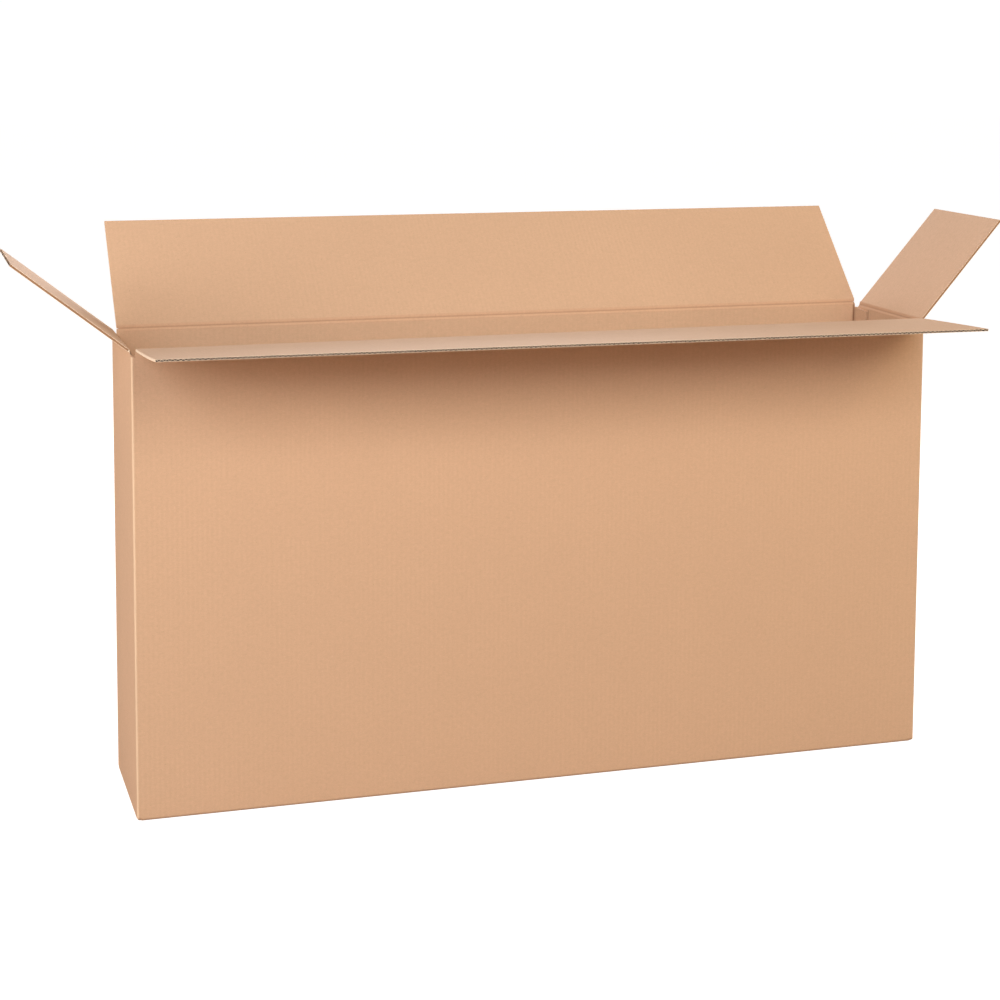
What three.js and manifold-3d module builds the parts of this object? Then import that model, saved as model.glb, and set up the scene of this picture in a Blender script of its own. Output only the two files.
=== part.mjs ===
// Side-loading carton of single-wall corrugated board, standing on its closed base with its four
// top flaps open. Millimetres, +Z up. The origin is the middle of the base, +X runs along the two
// long panels and the front panel faces -Y.
//
// The carton is one slotted sheet folded into a tube. Its four walls, glue tab and glued bottom
// flaps are one solid. The four top flaps turn on their creases, so each is a solid of its own.
// The flutes run up and down the walls and come out at the free edge of every top flap.

import * as THREE from 'three';
import { mergeGeometries, mergeVertices } from 'three/addons/utils/BufferGeometryUtils.js';
import Module from 'manifold-3d';

const wasm = await Module();
wasm.setup();

// Inside of the closed carton
const INSIDE_LENGTH = 1117.6;
const INSIDE_DEPTH = 203.2;
const INSIDE_HEIGHT = 609.6;

// Board: two liners with a fluted medium between them
const BOARD = 3.2;
const LINER = 0.4;
const MEDIUM = 0.25;
const FLUTES_PER_FOOT = 47;
const FOOT = 304.8;

// Flaps, all cut to one length, which falls this far short of the opposite panel, and the angle
// in degrees that each is folded out from upright
const FLAP_SHORTFALL = 21.6;
const FRONT_ANGLE = 86.5;
const BACK_ANGLE = 44.5;
const LEFT_ANGLE = 52;
const RIGHT_ANGLE = 41;

// Slots between the flaps: what they take off each flap, and how far they run past the lower crease
const LONG_FLAP_SLOT = 6;
const END_FLAP_SLOT = 7.5;
const JOINT_SLOT = 10;
const SLOT_RUN = 4;

// Creases and folds
const CREASE_CLEARANCE = 0.3;
const CORNER_RADIUS = 3;
const FOLD_RADIUS = 4;
const BOTTOM_CORNER_RADIUS = 6;
const ARC_STEPS = 4;

// Glue tab, on the end of the back panel and inside the right one
const TAB_WIDTH = 38;
const TAB_MITRE = 3;

// Flutes: solid board left beside the first one, and crushed board left along the crease
const EDGE_LAND = 2;
const CRUSHED_BAND = 8;

const LENGTH = INSIDE_LENGTH + 2 * BOARD;
const DEPTH = INSIDE_DEPTH + 2 * BOARD;
const FLAP = DEPTH - FLAP_SHORTFALL;
const PITCH = FOOT / FLUTES_PER_FOOT;

// Both long bottom flaps lie under the contents, and the closed long top flaps over them. The end
// flaps close first, so their creases are a board lower.
const LONG_CREASE = INSIDE_HEIGHT + 3 * BOARD;
const END_CREASE = LONG_CREASE - BOARD - CREASE_CLEARANCE;
const SLOT_BOTTOM = END_CREASE - SLOT_RUN;

// Each edge beside a crease stands back from the hinge line, so the mitred board clears when shut
const SETBACK = CREASE_CLEARANCE / Math.SQRT2;

// The bottom flaps in the order they are glued: front outside, then back, then both ends. Each
// leaves the floor between two distances from its wall and then lies on those under it.
const onFloor = { layer: 0 };
const besideLong = LONG_FLAP_SLOT - CREASE_CLEARANCE;
const onFront = { layer: 1, leaves: FOLD_RADIUS, lands: FLAP_SHORTFALL - BOARD };
const onLong = { layer: 2, leaves: besideLong, lands: besideLong };

// Each side is drawn with X along its wall, Y inward from its outer face and Z up
const SIDES = {
  front: {
    turn: 0,
    reach: DEPTH / 2,
    from: LONG_FLAP_SLOT - LENGTH / 2,
    to: LENGTH / 2 - LONG_FLAP_SLOT,
    crease: LONG_CREASE,
    base: onFloor,
    angle: FRONT_ANGLE,
    colour: 0xdcb694,
  },
  back: {
    turn: 180,
    reach: DEPTH / 2,
    from: LONG_FLAP_SLOT - LENGTH / 2,
    to: LENGTH / 2 - LONG_FLAP_SLOT,
    crease: LONG_CREASE,
    base: onFront,
    angle: BACK_ANGLE,
    colour: 0xd8ae84,
  },
  left: {
    turn: -90,
    reach: LENGTH / 2,
    from: END_FLAP_SLOT - DEPTH / 2,
    to: DEPTH / 2 - END_FLAP_SLOT,
    crease: END_CREASE,
    base: onLong,
    angle: LEFT_ANGLE,
    colour: 0xd6ad86,
  },
  right: {
    turn: 90,
    reach: LENGTH / 2,
    from: END_FLAP_SLOT - DEPTH / 2,
    to: DEPTH / 2 - JOINT_SLOT,
    crease: END_CREASE,
    base: onLong,
    angle: RIGHT_ANGLE,
    colour: 0xd0a882,
  },
};

const X = new THREE.Vector3(1, 0, 0);
const Y = new THREE.Vector3(0, 1, 0);
const Z = new THREE.Vector3(0, 0, 1);

function outline(points) {
  return new THREE.Shape(points.map(([x, y]) => new THREE.Vector2(x, y)));
}

function extrude(shape, from, to) {
  const options = { depth: to - from, bevelEnabled: false, curveSegments: ARC_STEPS };
  return new THREE.ExtrudeGeometry(shape, options).translate(0, 0, from);
}

// An outline of (inward, up) run along a wall
function alongWall(shape, from, to) {
  return extrude(shape, from, to).applyMatrix4(new THREE.Matrix4().makeBasis(Y, Z, X));
}

// An outline of (along, up) pushed back from the outer face
function intoWall(shape, from, to) {
  return extrude(shape, -to, -from).applyMatrix4(new THREE.Matrix4().makeBasis(X, Z, Y.clone().negate()));
}

// Sets what is drawn on one side in its place round the carton
function place(geometry, side) {
  const turn = THREE.MathUtils.degToRad(side.turn);
  return geometry.translate(0, -side.reach, 0).rotateZ(turn);
}

function solid(geometry) {
  const plain = geometry.clone();
  plain.deleteAttribute('normal');
  plain.deleteAttribute('uv');
  const merged = mergeVertices(plain);
  const mesh = new wasm.Mesh({
    numProp: 3,
    vertProperties: new Float32Array(merged.attributes.position.array),
    triVerts: new Uint32Array(merged.index.array),
  });
  return new wasm.Manifold(mesh);
}

function surface(made) {
  const mesh = made.getMesh();
  const geometry = new THREE.BufferGeometry();
  geometry.setAttribute('position', new THREE.BufferAttribute(mesh.vertProperties, 3));
  geometry.setIndex(new THREE.BufferAttribute(mesh.triVerts, 1));
  geometry.computeVertexNormals();
  return geometry;
}

function cardboard(name, geometry, colour) {
  const material = new THREE.MeshStandardMaterial({ color: colour, roughness: 0.9, metalness: 0 });
  const mesh = new THREE.Mesh(geometry, material);
  mesh.name = name;
  return mesh;
}

// Wall and bottom flap of one side as the single bent strip that they are. The top is mitred at
// the crease, and the outer liner runs round the fold at the floor.
function foldedPanel(side) {
  const { layer, leaves, lands } = side.base;
  const under = layer * BOARD;
  const top = side.crease - SETBACK;
  const shape = new THREE.Shape();
  shape.moveTo(0, top);
  shape.lineTo(0, FOLD_RADIUS);
  shape.absarc(FOLD_RADIUS, FOLD_RADIUS, FOLD_RADIUS, Math.PI, 1.5 * Math.PI);
  if (layer > 0) {
    shape.lineTo(leaves, 0);
    shape.lineTo(lands, under);
  }
  shape.lineTo(FLAP, under);
  shape.lineTo(FLAP, under + BOARD);
  shape.lineTo(BOARD, under + BOARD);
  shape.lineTo(BOARD, top - BOARD);
  return place(alongWall(shape, side.from, side.to), side);
}

// The tube of the four walls, up to the bottom of the slots, with its upright folds rounded
function tube() {
  const [x, y, r] = [LENGTH / 2, DEPTH / 2, CORNER_RADIUS];
  const plan = new THREE.Shape();
  plan.absarc(x - r, y - r, r, 0, Math.PI / 2);
  plan.absarc(r - x, y - r, r, Math.PI / 2, Math.PI);
  plan.absarc(r - x, r - y, r, Math.PI, 1.5 * Math.PI);
  plan.absarc(x - r, r - y, r, 1.5 * Math.PI, 2 * Math.PI);
  const [a, b] = [x - BOARD, y - BOARD];
  plan.holes.push(outline([[-a, -b], [-a, b], [a, b], [a, -b]]));
  return extrude(plan, 0, SLOT_BOTTOM);
}

// The space between two opposite walls, its lower corners rounded as the folded corners are
function roundedBelow(side, width) {
  const [x, r] = [width / 2, BOTTOM_CORNER_RADIUS];
  const shape = new THREE.Shape();
  shape.moveTo(x, SLOT_BOTTOM);
  shape.lineTo(-x, SLOT_BOTTOM);
  shape.absarc(r - x, r, r, Math.PI, 1.5 * Math.PI);
  shape.absarc(x - r, r, r, 1.5 * Math.PI, 2 * Math.PI);
  return place(intoWall(shape, -BOARD, 2 * side.reach + BOARD), side);
}

// The tab lies flat on the right wall, glued from the back corner forward. Its ends are mitred.
function glueTab(side) {
  const corner = DEPTH / 2 - BOARD / 2;
  const edge = DEPTH / 2 - BOARD - TAB_WIDTH;
  const low = (side.base.layer + 1) * BOARD;
  const shape = outline([
    [corner, low],
    [corner, SLOT_BOTTOM],
    [edge, SLOT_BOTTOM - TAB_MITRE],
    [edge, low + TAB_MITRE],
  ]);
  return place(intoWall(shape, BOARD / 2, 2 * BOARD), side);
}

function cartonBody() {
  const corners = solid(tube())
    .intersect(solid(roundedBelow(SIDES.front, LENGTH)))
    .intersect(solid(roundedBelow(SIDES.right, DEPTH)));
  const panels = Object.values(SIDES).map((side) => solid(foldedPanel(side)));
  const walls = panels.reduce((made, panel) => made.add(panel), corners);
  return surface(walls.add(solid(glueTab(SIDES.right))));
}

// One run of flute: a three-sided channel from the crushed band out through the free edge
function channel(corners) {
  return extrude(outline(corners), CRUSHED_BAND, FLAP + BOARD);
}

// The medium zigzags between the liners once every pitch. It leaves channels against the outer
// liner and, half a pitch along, channels against the inner one.
function flutes(from, to) {
  const count = Math.floor((to - from - 2 * EDGE_LAND) / PITCH);
  const start = (from + to - count * PITCH) / 2;
  const slope = Math.atan2(BOARD - 2 * LINER, PITCH / 2);
  const besideFoot = MEDIUM / 2 / Math.sin(slope);
  const belowCrest = MEDIUM / 2 / Math.cos(slope);
  const outer = LINER;
  const inner = BOARD - LINER;
  const channels = [];
  for (let i = 0; i < count; i += 1) {
    const x = start + i * PITCH;
    const [near, middle, far] = [x + besideFoot, x + PITCH / 2, x + PITCH - besideFoot];
    channels.push(channel([[near, outer], [far, outer], [middle, inner - belowCrest]]));
    if (i > 0) {
      const half = PITCH / 2;
      channels.push(channel([[far - half, inner], [near - half, inner], [x, outer + belowCrest]]));
    }
  }
  return mergeGeometries(channels);
}

// A top flap standing upright on its hinge line, mitred along the crease and fluted at its free edge
function topFlap(side) {
  const strip = outline([
    [0, SETBACK],
    [BOARD, SETBACK + BOARD],
    [BOARD, FLAP],
    [0, FLAP],
  ]);
  const board = solid(alongWall(strip, side.from, side.to));
  return surface(board.subtract(solid(flutes(side.from, side.to))));
}

const carton = new THREE.Group();
carton.add(cardboard('carton_body', cartonBody(), 0xd6ac86));

for (const [name, side] of Object.entries(SIDES)) {
  const wall = new THREE.Group();
  wall.rotation.z = THREE.MathUtils.degToRad(side.turn);
  carton.add(wall);

  const flap = cardboard(`${name}_flap`, topFlap(side), side.colour);
  flap.position.set(0, -side.reach, side.crease);
  flap.rotation.x = THREE.MathUtils.degToRad(side.angle);
  wall.add(flap);
}

export default carton;
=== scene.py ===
# %% [markdown]
# # A side-loading carton in corrugated kraft board
# The object is one sheet of single-wall corrugated board, folded into a long narrow
# box that stands on its glued base with its four top flaps thrown open. This lesson
# dresses it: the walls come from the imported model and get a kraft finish, and the
# four flaps are rebuilt as real board, two flat liners with a wavy paper between.

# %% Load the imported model
import math

import bpy
from mathutils import Matrix, Vector


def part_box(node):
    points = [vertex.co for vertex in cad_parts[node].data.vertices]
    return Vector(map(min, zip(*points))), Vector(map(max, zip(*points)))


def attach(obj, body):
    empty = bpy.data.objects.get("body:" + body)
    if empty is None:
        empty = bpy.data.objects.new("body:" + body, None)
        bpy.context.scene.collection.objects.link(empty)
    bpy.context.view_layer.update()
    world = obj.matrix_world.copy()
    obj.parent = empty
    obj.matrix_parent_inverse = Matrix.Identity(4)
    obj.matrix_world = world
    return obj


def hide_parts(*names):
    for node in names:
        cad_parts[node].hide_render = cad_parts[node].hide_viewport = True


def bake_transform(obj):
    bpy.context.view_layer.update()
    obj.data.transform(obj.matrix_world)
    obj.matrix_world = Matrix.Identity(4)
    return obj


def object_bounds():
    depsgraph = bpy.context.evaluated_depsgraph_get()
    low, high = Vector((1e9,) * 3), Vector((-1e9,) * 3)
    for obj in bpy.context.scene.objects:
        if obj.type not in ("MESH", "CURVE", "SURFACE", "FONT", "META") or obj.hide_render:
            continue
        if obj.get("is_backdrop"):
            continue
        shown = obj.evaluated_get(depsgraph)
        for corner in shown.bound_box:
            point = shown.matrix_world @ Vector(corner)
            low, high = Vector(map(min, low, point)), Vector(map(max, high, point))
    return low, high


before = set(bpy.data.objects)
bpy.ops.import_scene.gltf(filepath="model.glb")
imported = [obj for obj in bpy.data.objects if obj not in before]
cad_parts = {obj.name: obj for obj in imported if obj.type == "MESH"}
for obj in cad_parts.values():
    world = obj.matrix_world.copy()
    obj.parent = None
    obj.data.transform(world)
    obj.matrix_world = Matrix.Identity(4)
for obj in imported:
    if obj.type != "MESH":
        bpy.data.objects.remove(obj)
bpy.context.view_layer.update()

# %% [markdown]
# ## The board's sizes
# Everything on a carton follows from the board it is cut from. B flute has 47 waves
# to the foot and is about 3 mm thick, so the pitch of the waves is fixed and every
# pattern that shows the waves, cut or pressed through the paper, uses the same number.
# All sizes are in metres. The half sizes and the crease heights are the hinge lines.
# ROOT is the crushed part of a flap next to its crease, which is mitred by MITRE.

# %% Board and flap sizes
BOARD = 0.0032
LINER = 0.00036
MEDIUM = 0.00052
PITCH = 0.3048 / 47
FLAP = 0.1879
HALF_LENGTH = 0.562
HALF_DEPTH = 0.1048
TAB_EDGE = 0.0636
LONG_CREASE = 0.6192
END_CREASE = 0.6157
ROOT = 0.004
MITRE = 0.0028
ROOT_GAP = 0.0003
WAVE_SETBACK = 0.0006
SIDE_EDGE = 0.0005
print("pitch of the waves:", round(PITCH * 1000, 3), "mm")

# %% [markdown]
# ## The camera
# The photograph is taken from the left of the middle, a little above the mouth, with
# a longish lens. The camera stands where the box's own corners fall on the corners in
# the picture. The box sits low in the frame because the picture is cropped, which is
# what the lens shift is for; it keeps the picture's upright edges as they are.

# %% Place the camera
def camera_turn(pitch, yaw, roll):
    """Right, down and forward of the camera for three small turns in degrees."""
    x, y, z = (math.radians(a) for a in (pitch, yaw, roll))
    turn = Matrix.Rotation(z, 3, "Z") @ Matrix.Rotation(y, 3, "Y") @ Matrix.Rotation(x, 3, "X")
    level = Matrix(((1, 0, 0), (0, 0, -1), (0, 1, 0)))
    return turn @ level


look = camera_turn(6.28, -16.86, -1.54)
camera_data = bpy.data.cameras.new("camera")
SENSOR = 36
FOCAL_PIXELS, PICTURE_PIXELS = 2088, 1000
camera_data.sensor_width = SENSOR
camera_data.lens = FOCAL_PIXELS / PICTURE_PIXELS * SENSOR
camera_data.shift_x = 0.001
camera_data.shift_y = -0.251
camera_data.clip_end = 50
camera = bpy.data.objects.new("camera", camera_data)
bpy.context.collection.objects.link(camera)
seat = Matrix((look[0], -look[1], -look[2])).transposed().to_4x4()
seat.translation = Vector((-0.8807, -2.7528, 1.0290))
camera.matrix_world = seat
bpy.context.scene.camera = camera
print("lens:", round(camera_data.lens, 1), "mm")

# %% [markdown]
# ## Node helpers
# A finish is built from small shader nodes. Four short helpers keep the cells that
# follow readable: they add a node with its values, do a sum, mix two colours, and
# start an empty node group with named inputs and outputs.

# %% Helpers for shader nodes
def add_node(tree, kind, **settings):
    """A shader node with its properties, and its inputs by name or number."""
    node = tree.nodes.new(kind)
    for key, value in settings.items():
        if hasattr(node, key):
            setattr(node, key, value)
        else:
            node.inputs[key.replace("_", " ")].default_value = value
    return node


def calculate(tree, operation, first, second=None, third=None, limit=False):
    """A Math node fed by sockets or plain numbers."""
    node = add_node(tree, "ShaderNodeMath", operation=operation, use_clamp=limit)
    for place, value in enumerate((first, second, third)):
        if value is None:
            continue
        if isinstance(value, (int, float)):
            node.inputs[place].default_value = value
        else:
            tree.links.new(value, node.inputs[place])
    return node.outputs[0]


def blend_colours(tree, amount, first, second, kind="MIX"):
    """A colour mix; amount, first and second are sockets or plain values."""
    node = add_node(tree, "ShaderNodeMix", data_type="RGBA", blend_type=kind)
    for name, value in ((0, amount), (6, first), (7, second)):
        if isinstance(value, (int, float, tuple)):
            node.inputs[name].default_value = value
        else:
            tree.links.new(value, node.inputs[name])
    return node.outputs[2]


def new_group(name, inputs, outputs):
    """An empty node group with named inputs and outputs."""
    group = bpy.data.node_groups.new(name, "ShaderNodeTree")
    for label, kind, value in inputs:
        socket = group.interface.new_socket(label, in_out="INPUT", socket_type=kind)
        if value is not None:
            socket.default_value = value
    for label, kind in outputs:
        group.interface.new_socket(label, in_out="OUTPUT", socket_type=kind)
    entry = group.nodes.new("NodeGroupInput")
    leave = group.nodes.new("NodeGroupOutput")
    return group, entry.outputs, leave.inputs


# %% [markdown]
# ## The paper's own look: grain, specks and mottle
# Kraft liner is made of long fibres that lie mostly one way, so its grain is a noise
# that is stretched along the fibres. On top of that come soft cloudy patches where the
# pulp is thicker, and a few dark and pale specks of bark and bleached fibre. It is one
# group, so that every face of the carton gets the same paper, turned its own way.

# %% Build the paper group
paper, given, out = new_group(
    "kraft paper",
    [("Place", "NodeSocketVector", None), ("Along Fibre", "NodeSocketFloat", 220.0),
     ("Across Fibre", "NodeSocketFloat", 900.0), ("Strength", "NodeSocketFloat", 1.0)],
    [("Tone", "NodeSocketFloat"), ("Dark Specks", "NodeSocketFloat"),
     ("Pale Specks", "NodeSocketFloat"), ("Height", "NodeSocketFloat")],
)
stretch = add_node(paper, "ShaderNodeCombineXYZ")
paper.links.new(given["Along Fibre"], stretch.inputs[0])
paper.links.new(given["Across Fibre"], stretch.inputs[1])
paper.links.new(given["Across Fibre"], stretch.inputs[2])
stretched = add_node(paper, "ShaderNodeVectorMath", operation="MULTIPLY")
paper.links.new(given["Place"], stretched.inputs[0])
paper.links.new(stretch.outputs[0], stretched.inputs[1])
fibre = add_node(paper, "ShaderNodeTexNoise", Scale=1.0, Detail=3.0, Roughness=0.6)
paper.links.new(stretched.outputs[0], fibre.inputs["Vector"])
fine = add_node(paper, "ShaderNodeTexNoise", Scale=620.0, Detail=3.0, Roughness=0.65)
cloud = add_node(paper, "ShaderNodeTexNoise", Scale=9.0, Detail=4.0, Roughness=0.6)
patch = add_node(paper, "ShaderNodeTexNoise", Scale=190.0, Detail=3.0, Roughness=0.65)
dots = add_node(paper, "ShaderNodeTexNoise", Scale=620.0, Detail=1.0, Roughness=0.5)
pale = add_node(paper, "ShaderNodeTexNoise", Scale=480.0, Detail=1.0, Roughness=0.5)
for texture in (fine, cloud, patch, dots):
    paper.links.new(given["Place"], texture.inputs["Vector"])
moved = add_node(paper, "ShaderNodeVectorMath", operation="ADD")
moved.inputs[1].default_value = (3.1, 7.7, 1.3)
paper.links.new(given["Place"], moved.inputs[0])
paper.links.new(moved.outputs[0], pale.inputs["Vector"])
grain = calculate(paper, "MULTIPLY_ADD", fibre.outputs[0], 0.26, 0.0)
grain = calculate(paper, "MULTIPLY_ADD", fine.outputs[0], 0.48, grain)
grain = calculate(paper, "MULTIPLY_ADD", cloud.outputs[0], 0.08, grain)
grain = calculate(paper, "MULTIPLY_ADD", patch.outputs[0], 0.26, grain)
centred = calculate(paper, "SUBTRACT", grain, 0.54)
tone = calculate(paper, "MULTIPLY", centred, given["Strength"])
paper.links.new(tone, out["Tone"])
for texture, label, start in ((dots, "Dark Specks", 0.70), (pale, "Pale Specks", 0.72)):
    over = calculate(paper, "SUBTRACT", texture.outputs[0], start)
    paper.links.new(calculate(paper, "MULTIPLY", over, 12.0, limit=True), out[label])
rough = calculate(paper, "MULTIPLY_ADD", fibre.outputs[0], 0.5, 0.0)
rough = calculate(paper, "MULTIPLY_ADD", fine.outputs[0], 0.5, rough)
paper.links.new(rough, out["Height"])
print("kraft paper group:", len(paper.nodes), "nodes")

# %% [markdown]
# ## The waves that show through the liner
# Glue pulls the liner to each crest of the medium, so the flat board has faint ribs
# at the pitch of the waves. They fade in and out, because the glue does. The group
# gets the distance across the ribs and puts out their height.

# %% Build the washboard group
ribs, given, out = new_group(
    "washboard",
    [("Across", "NodeSocketFloat", 0.0), ("Place", "NodeSocketVector", None),
     ("Pitch", "NodeSocketFloat", PITCH)],
    [("Height", "NodeSocketFloat")],
)
turns = calculate(ribs, "DIVIDE", given["Across"], given["Pitch"])
wave = calculate(ribs, "COSINE", calculate(ribs, "MULTIPLY", turns, math.tau))
uneven = add_node(ribs, "ShaderNodeTexNoise", Scale=9.0, Detail=2.0, Roughness=0.5)
ribs.links.new(given["Place"], uneven.inputs["Vector"])
share = calculate(ribs, "MULTIPLY_ADD", uneven.outputs[0], 1.6, -0.3, limit=True)
ribs.links.new(calculate(ribs, "MULTIPLY", wave, share), out["Height"])
print("washboard group:", len(ribs.nodes), "nodes")

# %% [markdown]
# ## A band along an edge or a crease
# Where board is cut or pressed the paper is rubbed pale or crushed dark, in a narrow
# band. One group turns a distance into such a band: it is 1 on the line itself and
# falls to 0 at its width.

# %% Build the band group
band, given, out = new_group(
    "band along a line",
    [("Distance", "NodeSocketFloat", 0.0), ("Width", "NodeSocketFloat", 0.002)],
    [("Mask", "NodeSocketFloat")],
)
far = calculate(band, "ABSOLUTE", given["Distance"])
part = calculate(band, "DIVIDE", far, given["Width"], limit=True)
part = calculate(band, "SUBTRACT", 1.0, part)
smooth = calculate(band, "MULTIPLY", part, part)
smooth = calculate(band, "MULTIPLY", smooth, calculate(band, "MULTIPLY_ADD", part, -2.0, 3.0))
band.links.new(smooth, out["Mask"])


def line_mask(tree, distance, width):
    """The band group, fed with a distance socket and a width."""
    node = add_node(tree, "ShaderNodeGroup", node_tree=band)
    tree.links.new(distance, node.inputs["Distance"])
    node.inputs["Width"].default_value = width
    return node.outputs["Mask"]


# %% [markdown]
# ## The finish of the board's faces
# The faces share one recipe: a kraft brown that the paper group makes lighter and
# darker, specks, a rough surface with a little sheen at grazing light, and a bump that
# adds the grain to the ribs. What differs is which way the fibres run and where the
# creases lie, so the recipe is a function that is called for each material.

# %% The recipe for kraft board
KRAFT = (0.675, 0.422, 0.262, 1.0)
KRAFT_DARK = (0.430, 0.235, 0.118, 1.0)
KRAFT_PALE = (0.800, 0.570, 0.370, 1.0)
SPECK = (0.200, 0.100, 0.045, 1.0)
SEAM_SHADE = (0.20, 0.09, 0.04, 1.0)
GROOVE_SHADE = (0.30, 0.14, 0.065, 1.0)
RIB_HEIGHT = 0.00003
GRAIN_HEIGHT = 0.00007
DARKER, LIGHTER = 0.86, 1.13


def kraft_material(name, base=KRAFT, fibres=(0, 0, 0), across="X", rib_height=RIB_HEIGHT):
    """A kraft material, given back with the sockets that repaint and press add to."""
    material = bpy.data.materials.new(name)
    material.use_nodes = True
    tree = material.node_tree
    shader = tree.nodes["Principled BSDF"]
    shader.inputs["Specular IOR Level"].default_value = 0.2
    shader.inputs["Sheen Weight"].default_value = 0.03
    shader.inputs["Sheen Roughness"].default_value = 0.5
    place = add_node(tree, "ShaderNodeTexCoord").outputs["Object"]
    turn = add_node(tree, "ShaderNodeMapping")
    turn.inputs["Rotation"].default_value = fibres
    tree.links.new(place, turn.inputs["Vector"])
    sheet = add_node(tree, "ShaderNodeGroup", node_tree=paper)
    tree.links.new(turn.outputs[0], sheet.inputs["Place"])
    apart = add_node(tree, "ShaderNodeSeparateXYZ")
    tree.links.new(place, apart.inputs[0])
    comb = add_node(tree, "ShaderNodeGroup", node_tree=ribs)
    tree.links.new(place, comb.inputs["Place"])
    tree.links.new(apart.outputs[across], comb.inputs["Across"])
    light = calculate(tree, "MULTIPLY_ADD", sheet.outputs["Tone"], 2.0, 0.5, limit=True)
    colour = blend_colours(tree, light, tuple(c * DARKER for c in base[:3]) + (1,),
                           tuple(min(1, c * LIGHTER) for c in base[:3]) + (1,))
    stripe = calculate(tree, "MULTIPLY_ADD", comb.outputs[0], 0.035, 0.035)
    colour = blend_colours(tree, stripe, colour, KRAFT_DARK)
    few = calculate(tree, "MULTIPLY", sheet.outputs["Dark Specks"], 0.45)
    colour = blend_colours(tree, few, colour, SPECK)
    few = calculate(tree, "MULTIPLY", sheet.outputs["Pale Specks"], 0.35)
    colour = blend_colours(tree, few, colour, KRAFT_PALE)
    gloss = calculate(tree, "MULTIPLY_ADD", sheet.outputs["Tone"], -0.5, 0.74, limit=True)
    tree.links.new(gloss, shader.inputs["Roughness"])
    height = calculate(tree, "MULTIPLY", sheet.outputs["Height"], GRAIN_HEIGHT)
    height = calculate(tree, "MULTIPLY_ADD", comb.outputs[0], rib_height, height)
    bump = add_node(tree, "ShaderNodeBump", Strength=0.6, Distance=1.0)
    tree.links.new(height, bump.inputs["Height"])
    tree.links.new(bump.outputs[0], shader.inputs["Normal"])
    tree.links.new(colour, shader.inputs["Base Color"])
    return {"material": material, "tree": tree, "apart": apart.outputs, "colour": colour,
            "shader": shader, "height": height, "bump": bump}


def repaint(recipe, mask, colour, share):
    """Mixes one more colour into a recipe where a mask says so."""
    tree = recipe["tree"]
    amount = calculate(tree, "MULTIPLY", mask, share)
    recipe["colour"] = blend_colours(tree, amount, recipe["colour"], colour)
    tree.links.new(recipe["colour"], recipe["shader"].inputs["Base Color"])


def press(recipe, mask, depth):
    """Adds a pressed line to a recipe's bump; a negative depth raises it."""
    tree = recipe["tree"]
    recipe["height"] = calculate(tree, "MULTIPLY_ADD", mask, -depth, recipe["height"])
    tree.links.new(recipe["height"], recipe["bump"].inputs["Height"])


# %% [markdown]
# ## The walls
# The four walls keep the imported model's mesh, which has the right folds and corners.
# One material covers them all, and picks for each face what runs where: the ribs run
# up and down, so on the long walls they are counted along X and on the end walls along
# Y. A paler band down the upright corners and a darker band along the foot are painted
# by place, and so are painted shade in the inner corner by the seam and a painted
# shadow along the edge of the glue tab.

# %% Finish the walls
walls = kraft_material("kraft board walls", rib_height=0.0)
tree = walls["tree"]
across_x, across_y, up = walls["apart"]
normal = add_node(tree, "ShaderNodeNewGeometry").outputs["Normal"]
facing = add_node(tree, "ShaderNodeSeparateXYZ")
tree.links.new(normal, facing.inputs[0])
end_wall = calculate(tree, "GREATER_THAN", calculate(tree, "ABSOLUTE", facing.outputs[0]), 0.7)
count = add_node(tree, "ShaderNodeMix", data_type="FLOAT")
tree.links.new(end_wall, count.inputs[0])
tree.links.new(across_x, count.inputs[2])
tree.links.new(across_y, count.inputs[3])
comb = add_node(tree, "ShaderNodeGroup", node_tree=ribs)
place = add_node(tree, "ShaderNodeTexCoord").outputs["Object"]
tree.links.new(place, comb.inputs["Place"])
tree.links.new(count.outputs[0], comb.inputs["Across"])
press(walls, comb.outputs[0], -RIB_HEIGHT)
CORNER_BAND, CORNER_INSET = 0.0028, 0.0007
near_x = calculate(tree, "SUBTRACT", calculate(tree, "ABSOLUTE", across_x),
                   HALF_LENGTH - CORNER_INSET)
near_y = calculate(tree, "SUBTRACT", calculate(tree, "ABSOLUTE", across_y),
                   HALF_DEPTH - CORNER_INSET)
upright = calculate(tree, "MULTIPLY", line_mask(tree, near_x, CORNER_BAND),
                    line_mask(tree, near_y, CORNER_BAND))
repaint(walls, upright, KRAFT_PALE, 0.75)
foot = line_mask(tree, up, 0.006)
repaint(walls, foot, KRAFT_DARK, 0.25)
inner = calculate(tree, "SUBTRACT", across_x, HALF_LENGTH - 0.0062)
press(walls, line_mask(tree, inner, 0.0012), 0.0001)
# Painted shade in the inner corner by the seam, and a painted shadow along the glue tab's
# edge.
seam_x = calculate(tree, "SUBTRACT", across_x, HALF_LENGTH - 0.0082)
seam_corner_shade = calculate(tree, "MULTIPLY", line_mask(tree, seam_x, 0.0024),
                 calculate(tree, "GREATER_THAN", across_y, HALF_DEPTH - 0.008))
above_floor = calculate(tree, "GREATER_THAN", up, 0.01)
tab_y = calculate(tree, "SUBTRACT", across_y, TAB_EDGE - 0.001)
tab_edge_shadow = calculate(tree, "MULTIPLY", line_mask(tree, tab_y, 0.0016),
                calculate(tree, "COMPARE", across_x, HALF_LENGTH - 0.005, 0.0025))
repaint(walls, calculate(tree, "MULTIPLY", tab_edge_shadow, above_floor), SEAM_SHADE, 0.55)
repaint(walls, calculate(tree, "MULTIPLY", seam_corner_shade, above_floor), SEAM_SHADE, 0.8)
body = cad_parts["carton_body"]
for slot in body.material_slots:
    slot.material = walls["material"]
print("wall material slots:", len(body.material_slots))
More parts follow.
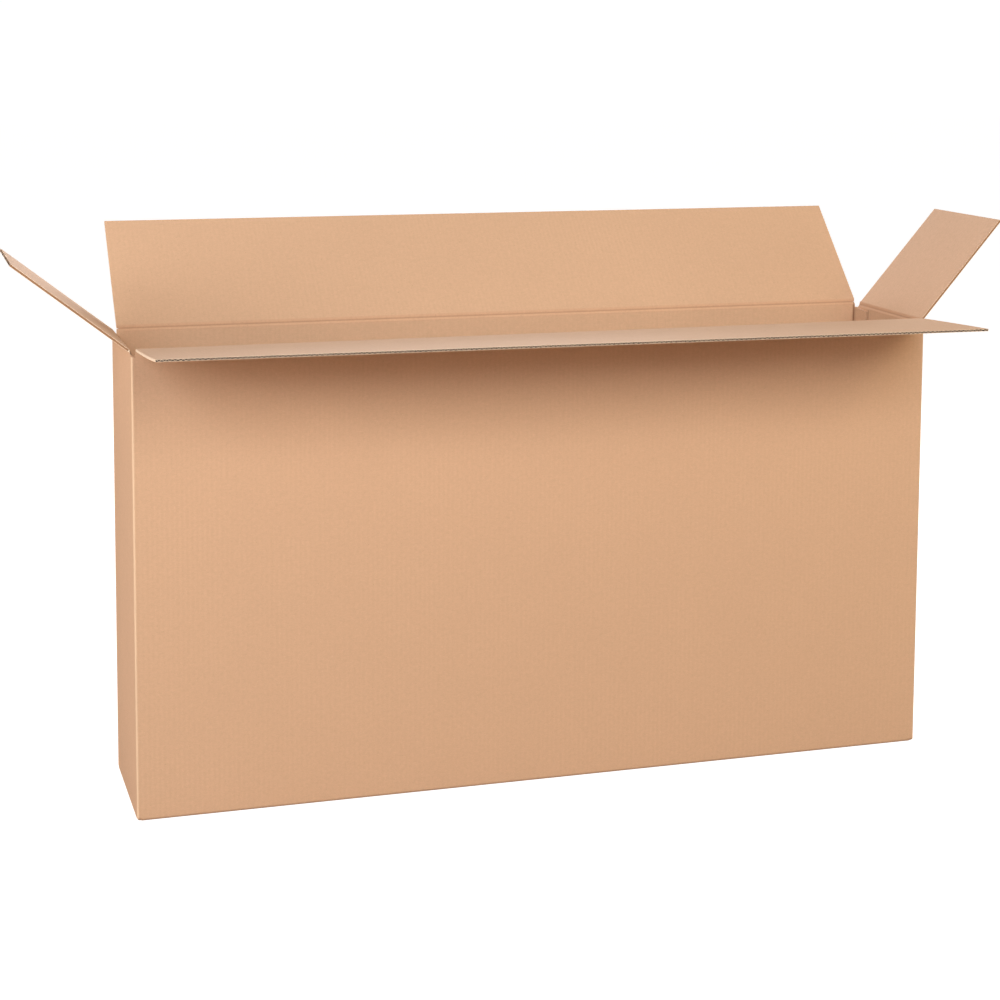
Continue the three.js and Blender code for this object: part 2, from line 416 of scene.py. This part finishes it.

# %% [markdown]
# ## The cut edge
# A guillotined edge shows the raw section of the board. The liners are cut clean and
# read as two pale lines, while the hollows of the medium between them fall into shadow,
# deepened by painted shade: the medium and the liners' faces in the hollows are a dark
# brown. The flaps use one material for each, and a darker brown, painted shade, for
# the end flaps' sides.

# %% Finish the liners' edges and the medium
cut_liner = kraft_material("cut liner edge", base=(0.900, 0.680, 0.490, 1.0), rib_height=0.0)
# The medium's dark brown is painted shade for the hollows between the waves.
medium = kraft_material("fluted medium painted shade", base=(0.150, 0.060, 0.026, 1.0), rib_height=0.0)
# A darker brown for the end flaps' sides: painted shade on those cut edges.
side_edge_shade = kraft_material("slotted edge painted shade", base=(0.330, 0.170, 0.085, 1.0), rib_height=0.0)
for edge in (cut_liner, medium, side_edge_shade):
    print("edge material:", edge["material"].name)

# %% [markdown]
# ## The flaps' faces
# On a flap the ribs run out from the crease to the free edge, so on the long flaps they
# are counted along X and on the end flaps along Y. The fibres run across them.

# %% Finish the flaps' faces
long_face = kraft_material("kraft board long flaps", across="X")
end_face = kraft_material("kraft board end flaps", fibres=(0, 0, math.pi / 2), across="Y")

# %% [markdown]
# ## Real board for the flaps
# Each flap is modelled flat, as it is cut: a liner, the waves, a liner, with the free
# edge open so that one looks into the waves. One wave is modelled from a plane strip
# that is cut across and lifted into a sine, given its paper's thickness, and repeated
# with an Array. The liners are cubes at their size, cut into strips so that they can
# bend. The flap is then stood up on its crease and leant out to its angle.

# %% Helpers for modelling
WAVE_STEPS = 8
LINER_STRIPS = 36


def deselect():
    """Nothing selected and no edit mode, so that an operator meets only its own piece."""
    if bpy.context.object and bpy.context.object.mode != "OBJECT":
        bpy.ops.object.mode_set(mode="OBJECT")
    bpy.ops.object.select_all(action="DESELECT")


def slab(name, low, high):
    """A cube added at its size and place between two corners, in metres."""
    deselect()
    middle = [(a + b) / 2 for a, b in zip(low, high)]
    bpy.ops.mesh.primitive_cube_add(size=1, location=middle)
    piece = bpy.context.object
    piece.name = name
    piece.scale = [b - a for a, b in zip(low, high)]
    bpy.ops.object.transform_apply(location=True, rotation=True, scale=True)
    return piece


def cut_across(piece, axis, places):
    """Cuts a piece with flat planes at places along an axis, and keeps both sides."""
    deselect()
    piece.select_set(True)
    bpy.context.view_layer.objects.active = piece
    bpy.ops.object.mode_set(mode="EDIT")
    for place in places:
        bpy.ops.mesh.select_all(action="SELECT")
        point = [0, 0, 0]
        point[axis] = place
        direction = [0, 0, 0]
        direction[axis] = 1
        bpy.ops.mesh.bisect(plane_co=point, plane_no=direction)
    bpy.ops.object.mode_set(mode="OBJECT")


def fold_paper(width, lift):
    """One wave of the medium: a strip across X, lifted into a sine, one pitch long."""
    deselect()
    bpy.ops.mesh.primitive_grid_add(x_subdivisions=WAVE_STEPS, y_subdivisions=1, size=1)
    strip = bpy.context.object
    strip.scale = (PITCH, width, 1)
    bpy.ops.object.transform_apply(scale=True)
    bpy.ops.object.mode_set(mode="EDIT")
    for step in range(WAVE_STEPS + 1):
        bpy.ops.mesh.select_all(action="DESELECT")
        bpy.ops.object.mode_set(mode="OBJECT")
        across = -PITCH / 2 + PITCH * step / WAVE_STEPS
        for point in strip.data.vertices:
            point.select = abs(point.co.x - across) < PITCH / 40
        bpy.ops.object.mode_set(mode="EDIT")
        rise = -lift * math.cos(math.tau * step / WAVE_STEPS)
        bpy.ops.transform.translate(value=(0, 0, rise))
    bpy.ops.object.mode_set(mode="OBJECT")
    return strip


# %% Model one flap, flat
def flat_flap(name, left, right, face, side, rows=()):
    """A flap lying flat: hinge line along X at the origin, free edge at y = FLAP.

    Its outer face is at z = 0 and the board goes down to z = -BOARD. rows are the
    distances from the crease where the flap is cut, so that it can bend there.
    """
    liners = []
    for part, top in (("outer", 0.0), ("inner", -BOARD + LINER)):
        piece = slab(name + "_" + part, (left, ROOT, top - LINER), (right, FLAP, top))
        cut_across(piece, 0, [left + (right - left) * k / LINER_STRIPS
                              for k in range(1, LINER_STRIPS)])
        cut_across(piece, 1, rows)
        liners.append(piece)
    lift = (BOARD - 2 * LINER - MEDIUM) / 2
    waves = fold_paper(FLAP - ROOT - WAVE_SETBACK, lift)
    count = int((right - left) / PITCH)
    start = (left + right) / 2 - (count - 1) * PITCH / 2
    waves.location = (start, (FLAP - WAVE_SETBACK + ROOT) / 2, -BOARD / 2)
    bpy.ops.object.transform_apply(location=True)
    repeat = waves.modifiers.new("repeat", "ARRAY")
    repeat.count = count
    repeat.use_relative_offset = False
    repeat.use_constant_offset = True
    repeat.constant_offset_displace = (PITCH, 0, 0)
    repeat.use_merge_vertices = True
    repeat.merge_threshold = 0.00001
    bpy.ops.object.modifier_apply(modifier="repeat")
    cut_across(waves, 1, rows)
    thick = waves.modifiers.new("paper", "SOLIDIFY")
    thick.thickness = MEDIUM
    thick.offset = 0
    bpy.ops.object.modifier_apply(modifier="paper")
    for point in waves.data.vertices:
        run = point.co.x
        point.co.x += 0.00035 * math.sin(run * 37) + 0.0002 * math.sin(run * 113 + 1)
        flatter = 0.97 + 0.03 * math.sin(run * 61)
        point.co.z = -BOARD / 2 + (point.co.z + BOARD / 2) * flatter
    waves.data.materials.append(medium["material"])
    waves.data.materials.append(cut_liner["material"])
    for facet in waves.data.polygons:
        facet.material_index = 1 if abs(facet.normal.y) > 0.7 else 0
    crushed = slab(name + "_root", (left, ROOT_GAP, -BOARD + ROOT_GAP),
                   (right, ROOT + 0.0002, 0))
    mitre_root(crushed)
    sides = []
    for part, low in (("left", left), ("right", right - SIDE_EDGE)):
        edge = slab(name + "_" + part, (low, ROOT, -BOARD + LINER),
                    (low + SIDE_EDGE, FLAP, -LINER))
        cut_across(edge, 1, rows)
        edge.data.materials.append(side["material"])
        sides.append(edge)
    for piece in liners + [crushed]:
        piece.data.materials.append(face["material"])
        piece.data.materials.append(cut_liner["material"])
        piece.data.materials.append(medium["material"])
        for facet in piece.data.polygons:
            # Liner faces inside the board take the medium's dark brown, painted shade in the
            # hollows.
            within = piece != crushed and LINER * 0.5 < -facet.center.z < BOARD - LINER * 0.5
            facet.material_index = 1 if abs(facet.normal.z) < 0.5 else 2 if within else 0
    deselect()
    for piece in [waves, crushed] + sides + liners:
        piece.select_set(True)
    bpy.context.view_layer.objects.active = liners[0]
    bpy.ops.object.join()
    liners[0].name = name
    print(name, "waves:", count, "faces:", len(liners[0].data.polygons))
    return liners[0]


def mitre_root(piece):
    """The crushed end of a flap, with its inner edge moved back to form a mitre."""
    deselect()
    piece.select_set(True)
    bpy.context.view_layer.objects.active = piece
    for point in piece.data.vertices:
        point.select = False
    bpy.ops.object.mode_set(mode="EDIT")
    bpy.ops.mesh.select_mode(type="EDGE")
    bpy.ops.mesh.select_all(action="DESELECT")
    bpy.ops.object.mode_set(mode="OBJECT")
    low = min(point.co.y for point in piece.data.vertices)
    deep = min(point.co.z for point in piece.data.vertices)
    for edge in piece.data.edges:
        ends = [piece.data.vertices[i].co for i in edge.vertices]
        edge.select = all(abs(e.y - low) < 1e-6 and abs(e.z - deep) < 1e-6 for e in ends)
    bpy.ops.object.mode_set(mode="EDIT")
    bpy.ops.transform.translate(value=(0, MITRE, 0))
    bpy.ops.object.mode_set(mode="OBJECT")


# %% [markdown]
# ## Standing the flaps on their creases
# A flat flap is stood upright on its crease, with its outer face outwards, and leant
# out to its angle about the crease. The front flap is not perfectly flat in the
# photograph: its left end stands up a little. It stays flat next to the crease and
# bends further out, so its points are moved by the square of the way from there.

# %% Stand, lean and bend
STIFF_ROOT = 0.024
BEND_ROWS = (STIFF_ROOT, 0.05, 0.08, 0.115, 0.15)


def stand(piece, side, hinge, angle, lift=(0.0, 0.0)):
    """Stands a flat flap on its crease, leant out by angle degrees from upright.

    side is the wall's outward direction, hinge a point on the crease.
    lift is how far the free edge stands up at its left and at its right end.
    """
    outward, top = Vector(side), Vector((0, 0, 1))
    along = outward.cross(top) * -1
    lean = math.radians(angle)
    arm = top * math.cos(lean) + outward * math.sin(lean)
    face = outward * math.cos(lean) - top * math.sin(lean)
    half = max(abs(point.co.x) for point in piece.data.vertices)
    for point in piece.data.vertices:
        across, out_from, deep = point.co
        place = across / half
        share = max(out_from - STIFF_ROOT, 0) / (FLAP - STIFF_ROOT)
        rise = (lift[0] * (1 - place) + lift[1] * (1 + place)) / 2 * share ** 2
        point.co = hinge + along * across + arm * out_from + face * deep - face * rise
    piece.data.update()


def open_flap(name, node, body, width, face, edge, side, hinge, angle, lift=None):
    """Models one flap, stands it on its crease and puts it in the CAD flap's place."""
    piece = flat_flap(name, width[0], width[1], face, edge, BEND_ROWS if lift else ())
    stand(piece, side, Vector(hinge), angle, lift or (0.0, 0.0))
    deselect()
    piece.select_set(True)
    bpy.context.view_layer.objects.active = piece
    bpy.ops.object.mode_set(mode="EDIT")
    bpy.ops.mesh.select_all(action="SELECT")
    bpy.ops.mesh.normals_make_consistent(inside=False)
    bpy.ops.object.mode_set(mode="OBJECT")
    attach(piece, body)
    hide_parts(node)
    return piece


FRONT = ((0, -1, 0), (0, -HALF_DEPTH, LONG_CREASE), 86.5)
BACK = ((0, 1, 0), (0, HALF_DEPTH, LONG_CREASE), 44.5)
LEFT = ((-1, 0, 0), (-HALF_LENGTH, 0, END_CREASE), 52)
RIGHT = ((1, 0, 0), (HALF_LENGTH, 0, END_CREASE), 41)
LONG_WIDTH = (-0.556, 0.556)
for name, node, body, width, face, edge, hung, lift in (
        ("front_flap_board", "front_flap", "front_flap", LONG_WIDTH, long_face, cut_liner,
         FRONT, (0.0035, -0.0010)),
        ("back_flap_board", "back_flap", "back_flap", LONG_WIDTH, long_face, cut_liner,
         BACK, None),
        ("left_flap_board", "left_flap", "left_flap", (-0.0973, 0.0973), end_face, side_edge_shade,
         LEFT, None),
        ("right_flap_board", "right_flap", "right_flap", (-0.0973, 0.0948), end_face, side_edge_shade,
         RIGHT, None)):
    piece = open_flap(name, node, body, width, face, edge, *hung, lift)
    low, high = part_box(node)
    print(piece.name, "CAD box:", [round(v, 4) for v in low], [round(v, 4) for v in high])

# %% [markdown]
# ## The liner that runs through a crease
# A flap turns on a score, a line where the board is crushed so that it folds there.
# Inside the carton the paper goes on from a wall to its flap without a break: the score
# only presses a soft groove into it. A narrow strip is bent over each crease for that.
# Its rows are placed by their angle and distance from the hinge line, and it blends
# from the walls to the flap at the angle the flap is stood at.

# %% Bend a strip of liner over each crease
folded = kraft_material("liner through the crease", base=(0.655, 0.392, 0.240, 1.0),
                        rib_height=0.0)
GROOVE, OVERLAP, PROUD = 0.0007, 0.0008, 0.00006
ROWS, COLUMNS = 10, 12
NEAREST_TO_HINGE = 0.0009
STRIP_PAPER = 0.00012
tree = folded["tree"]
across_x, across_y, up = folded["apart"]
reach = []
for away, half, height in ((across_y, HALF_DEPTH, LONG_CREASE),
                           (across_x, HALF_LENGTH, END_CREASE)):
    flat = calculate(tree, "SUBTRACT", calculate(tree, "ABSOLUTE", away), half)
    rise = calculate(tree, "SUBTRACT", up, height)
    square = calculate(tree, "MULTIPLY_ADD", flat, flat,
                       calculate(tree, "MULTIPLY", rise, rise))
    reach.append(calculate(tree, "SQRT", square))
nearest = calculate(tree, "MINIMUM", *reach)
# Painted shade along each hinge line, where the score's groove lies.
repaint(folded, line_mask(tree, nearest, 0.0026), GROOVE_SHADE, 0.75)


def hinge_liner(name, flap_body, side, hinge, angle, low, high):
    """A strip of liner from a wall's inner face, over the crease, to the flap's."""
    outward, top = Vector(side), Vector((0, 0, 1))
    along = outward.cross(top) * -1
    lean = math.radians(angle)
    arm = top * math.cos(lean) + outward * math.sin(lean)
    inner = top * math.sin(lean) - outward * math.cos(lean)
    depth = BOARD + PROUD
    wall_corner = -outward * depth - top * BOARD
    flap_corner = inner * depth + arm * BOARD
    rows = [wall_corner - top * OVERLAP]
    for step in range(ROWS - 2):
        share = step / (ROWS - 3)
        point = wall_corner.lerp(flap_corner, share)
        dip = min(GROOVE * math.sin(math.pi * share), max(point.length - NEAREST_TO_HINGE, 0))
        rows.append(point - point.normalized() * dip)
    rows.append(flap_corner + arm * OVERLAP)
    deselect()
    bpy.ops.mesh.primitive_grid_add(x_subdivisions=COLUMNS, y_subdivisions=ROWS - 1, size=1)
    strip = bpy.context.object
    strip.name = name
    for point in strip.data.vertices:
        row = rows[round((point.co.y + 0.5) * (ROWS - 1))]
        across = low + (high - low) * (point.co.x + 0.5)
        point.co = Vector(hinge) + along * across + row
    paper_thick = strip.modifiers.new("paper", "SOLIDIFY")
    paper_thick.thickness = STRIP_PAPER
    paper_thick.offset = 0
    bpy.ops.object.modifier_apply(modifier=paper_thick.name)
    bpy.ops.object.mode_set(mode="EDIT")
    bpy.ops.mesh.select_all(action="SELECT")
    bpy.ops.mesh.normals_make_consistent(inside=False)
    bpy.ops.object.mode_set(mode="OBJECT")
    bpy.ops.object.shade_smooth_by_angle(angle=math.radians(50))
    strip.data.materials.append(folded["material"])
    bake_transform(strip)
    return strip


for name, flap_body, hung, low, high in (
        ("front_crease_liner", "front_flap", FRONT, -0.5535, 0.5535),
        ("back_crease_liner", "back_flap", BACK, -0.5535, 0.5535),
        ("left_crease_liner", "left_flap", LEFT, -0.0965, 0.0965),
        ("right_crease_liner", "right_flap", RIGHT, -0.0940, 0.0965)):
    strip = hinge_liner(name, flap_body, *hung, low, high)
    print(strip.name, "faces:", len(strip.data.polygons))

# %% [markdown]
# ## The studio
# A pack shot stands on white, under big soft lights all round it and from above. The
# ones above the front flap throw the soft shadow under it. The camera sees the floor and
# the surroundings white, but the carton gets a dimmer, warmer light from them, as if it
# came back from the carton's own colour.

# %% Floor, surroundings and lights
deselect()
FLOOR_GLOW = 0.985
SURROUND, BACKDROP = 0.09, 1.02
LIGHT_DISTANCE = 3.2
MIDDLE = (0, 0, 0.45)
bpy.ops.mesh.primitive_plane_add(size=40, location=(0, 0, -0.0005))
floor = bpy.context.object
floor.name = "studio_floor"
floor_material = bpy.data.materials.new("pale floor")
floor_material.use_nodes = True
floor_shader = floor_material.node_tree.nodes["Principled BSDF"]
floor_shader.inputs["Base Color"].default_value = (0.42, 0.33, 0.27, 1)
floor_shader.inputs["Roughness"].default_value = 0.9
floor_shader.inputs["Emission Color"].default_value = (1, 1, 1, 1)
seen = floor_material.node_tree.nodes.new("ShaderNodeLightPath").outputs["Is Camera Ray"]
glow = calculate(floor_material.node_tree, "MULTIPLY", seen, FLOOR_GLOW)
floor_material.node_tree.links.new(glow, floor_shader.inputs["Emission Strength"])
floor.data.materials.append(floor_material)
floor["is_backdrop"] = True

world = bpy.data.worlds.new("white surroundings")
bpy.context.scene.world = world
world.use_nodes = True
sky = world.node_tree.nodes["Background"]
seen = world.node_tree.nodes.new("ShaderNodeLightPath").outputs["Is Camera Ray"]
warmth = blend_colours(world.node_tree, seen, (1.0, 0.64, 0.48, 1.0), (1.0, 1.0, 1.0, 1.0))
world.node_tree.links.new(warmth, sky.inputs["Color"])
brightness = calculate(world.node_tree, "MULTIPLY_ADD", seen, BACKDROP - SURROUND, SURROUND)
world.node_tree.links.new(brightness, sky.inputs["Strength"])
bpy.context.scene.view_settings.view_transform = "Standard"


def soft_light(name, place, aim, size, power):
    """A soft light of a width and a height at a place, aimed at a point."""
    data = bpy.data.lights.new(name, "AREA")
    data.shape = "RECTANGLE"
    data.size, data.size_y = size
    data.energy = power
    lamp = bpy.data.objects.new(name, data)
    bpy.context.collection.objects.link(lamp)
    lamp.location = place
    lamp.rotation_euler = (Vector(aim) - Vector(place)).to_track_quat("-Z", "Y").to_euler()
    return lamp


def round_the_box(across, above, away, centre=MIDDLE):
    """A place at two angles in degrees, across from the front and above level."""
    side, rise = math.radians(across), math.radians(above)
    level = away * math.cos(rise)
    return Vector(centre) + Vector((level * math.sin(side), -level * math.cos(side),
                                    away * math.sin(rise)))


for name, across, above, power, size, tint in (
        ("left_softbox", -74, 10, 50.0, 1.2, (1.0, 0.99, 0.98)),
        ("front_left_softbox", -40, 23, 36.0, 1.3, (0.93, 0.99, 1.08)),
        ("front_right_softbox", 14, 28, 31.0, 1.3, (0.96, 1.0, 1.04)),
        ("right_softbox", 38, 26, 25.0, 1.1, (1.0, 0.94, 0.72)),
        ("low_right_softbox", 62, 12, 7.0, 0.5, (1.0, 0.90, 0.76)),
        ("high_softbox", 12, 74, 18.0, 1.3, (1.0, 0.97, 0.94)),
        ("back_softbox", 165, 20, 70.0, 1.3, (1.0, 1.0, 1.0))):
    lamp = soft_light(name, round_the_box(across, above, LIGHT_DISTANCE), MIDDLE, (size, size),
                      power)
    lamp.data.color = tint

# %% [markdown]
# ## The finished size
# The size of everything that renders, without the floor, is printed at the end.

# %% Print the finished size
low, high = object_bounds()
print("finished model:", [round(v, 4) for v in high - low])
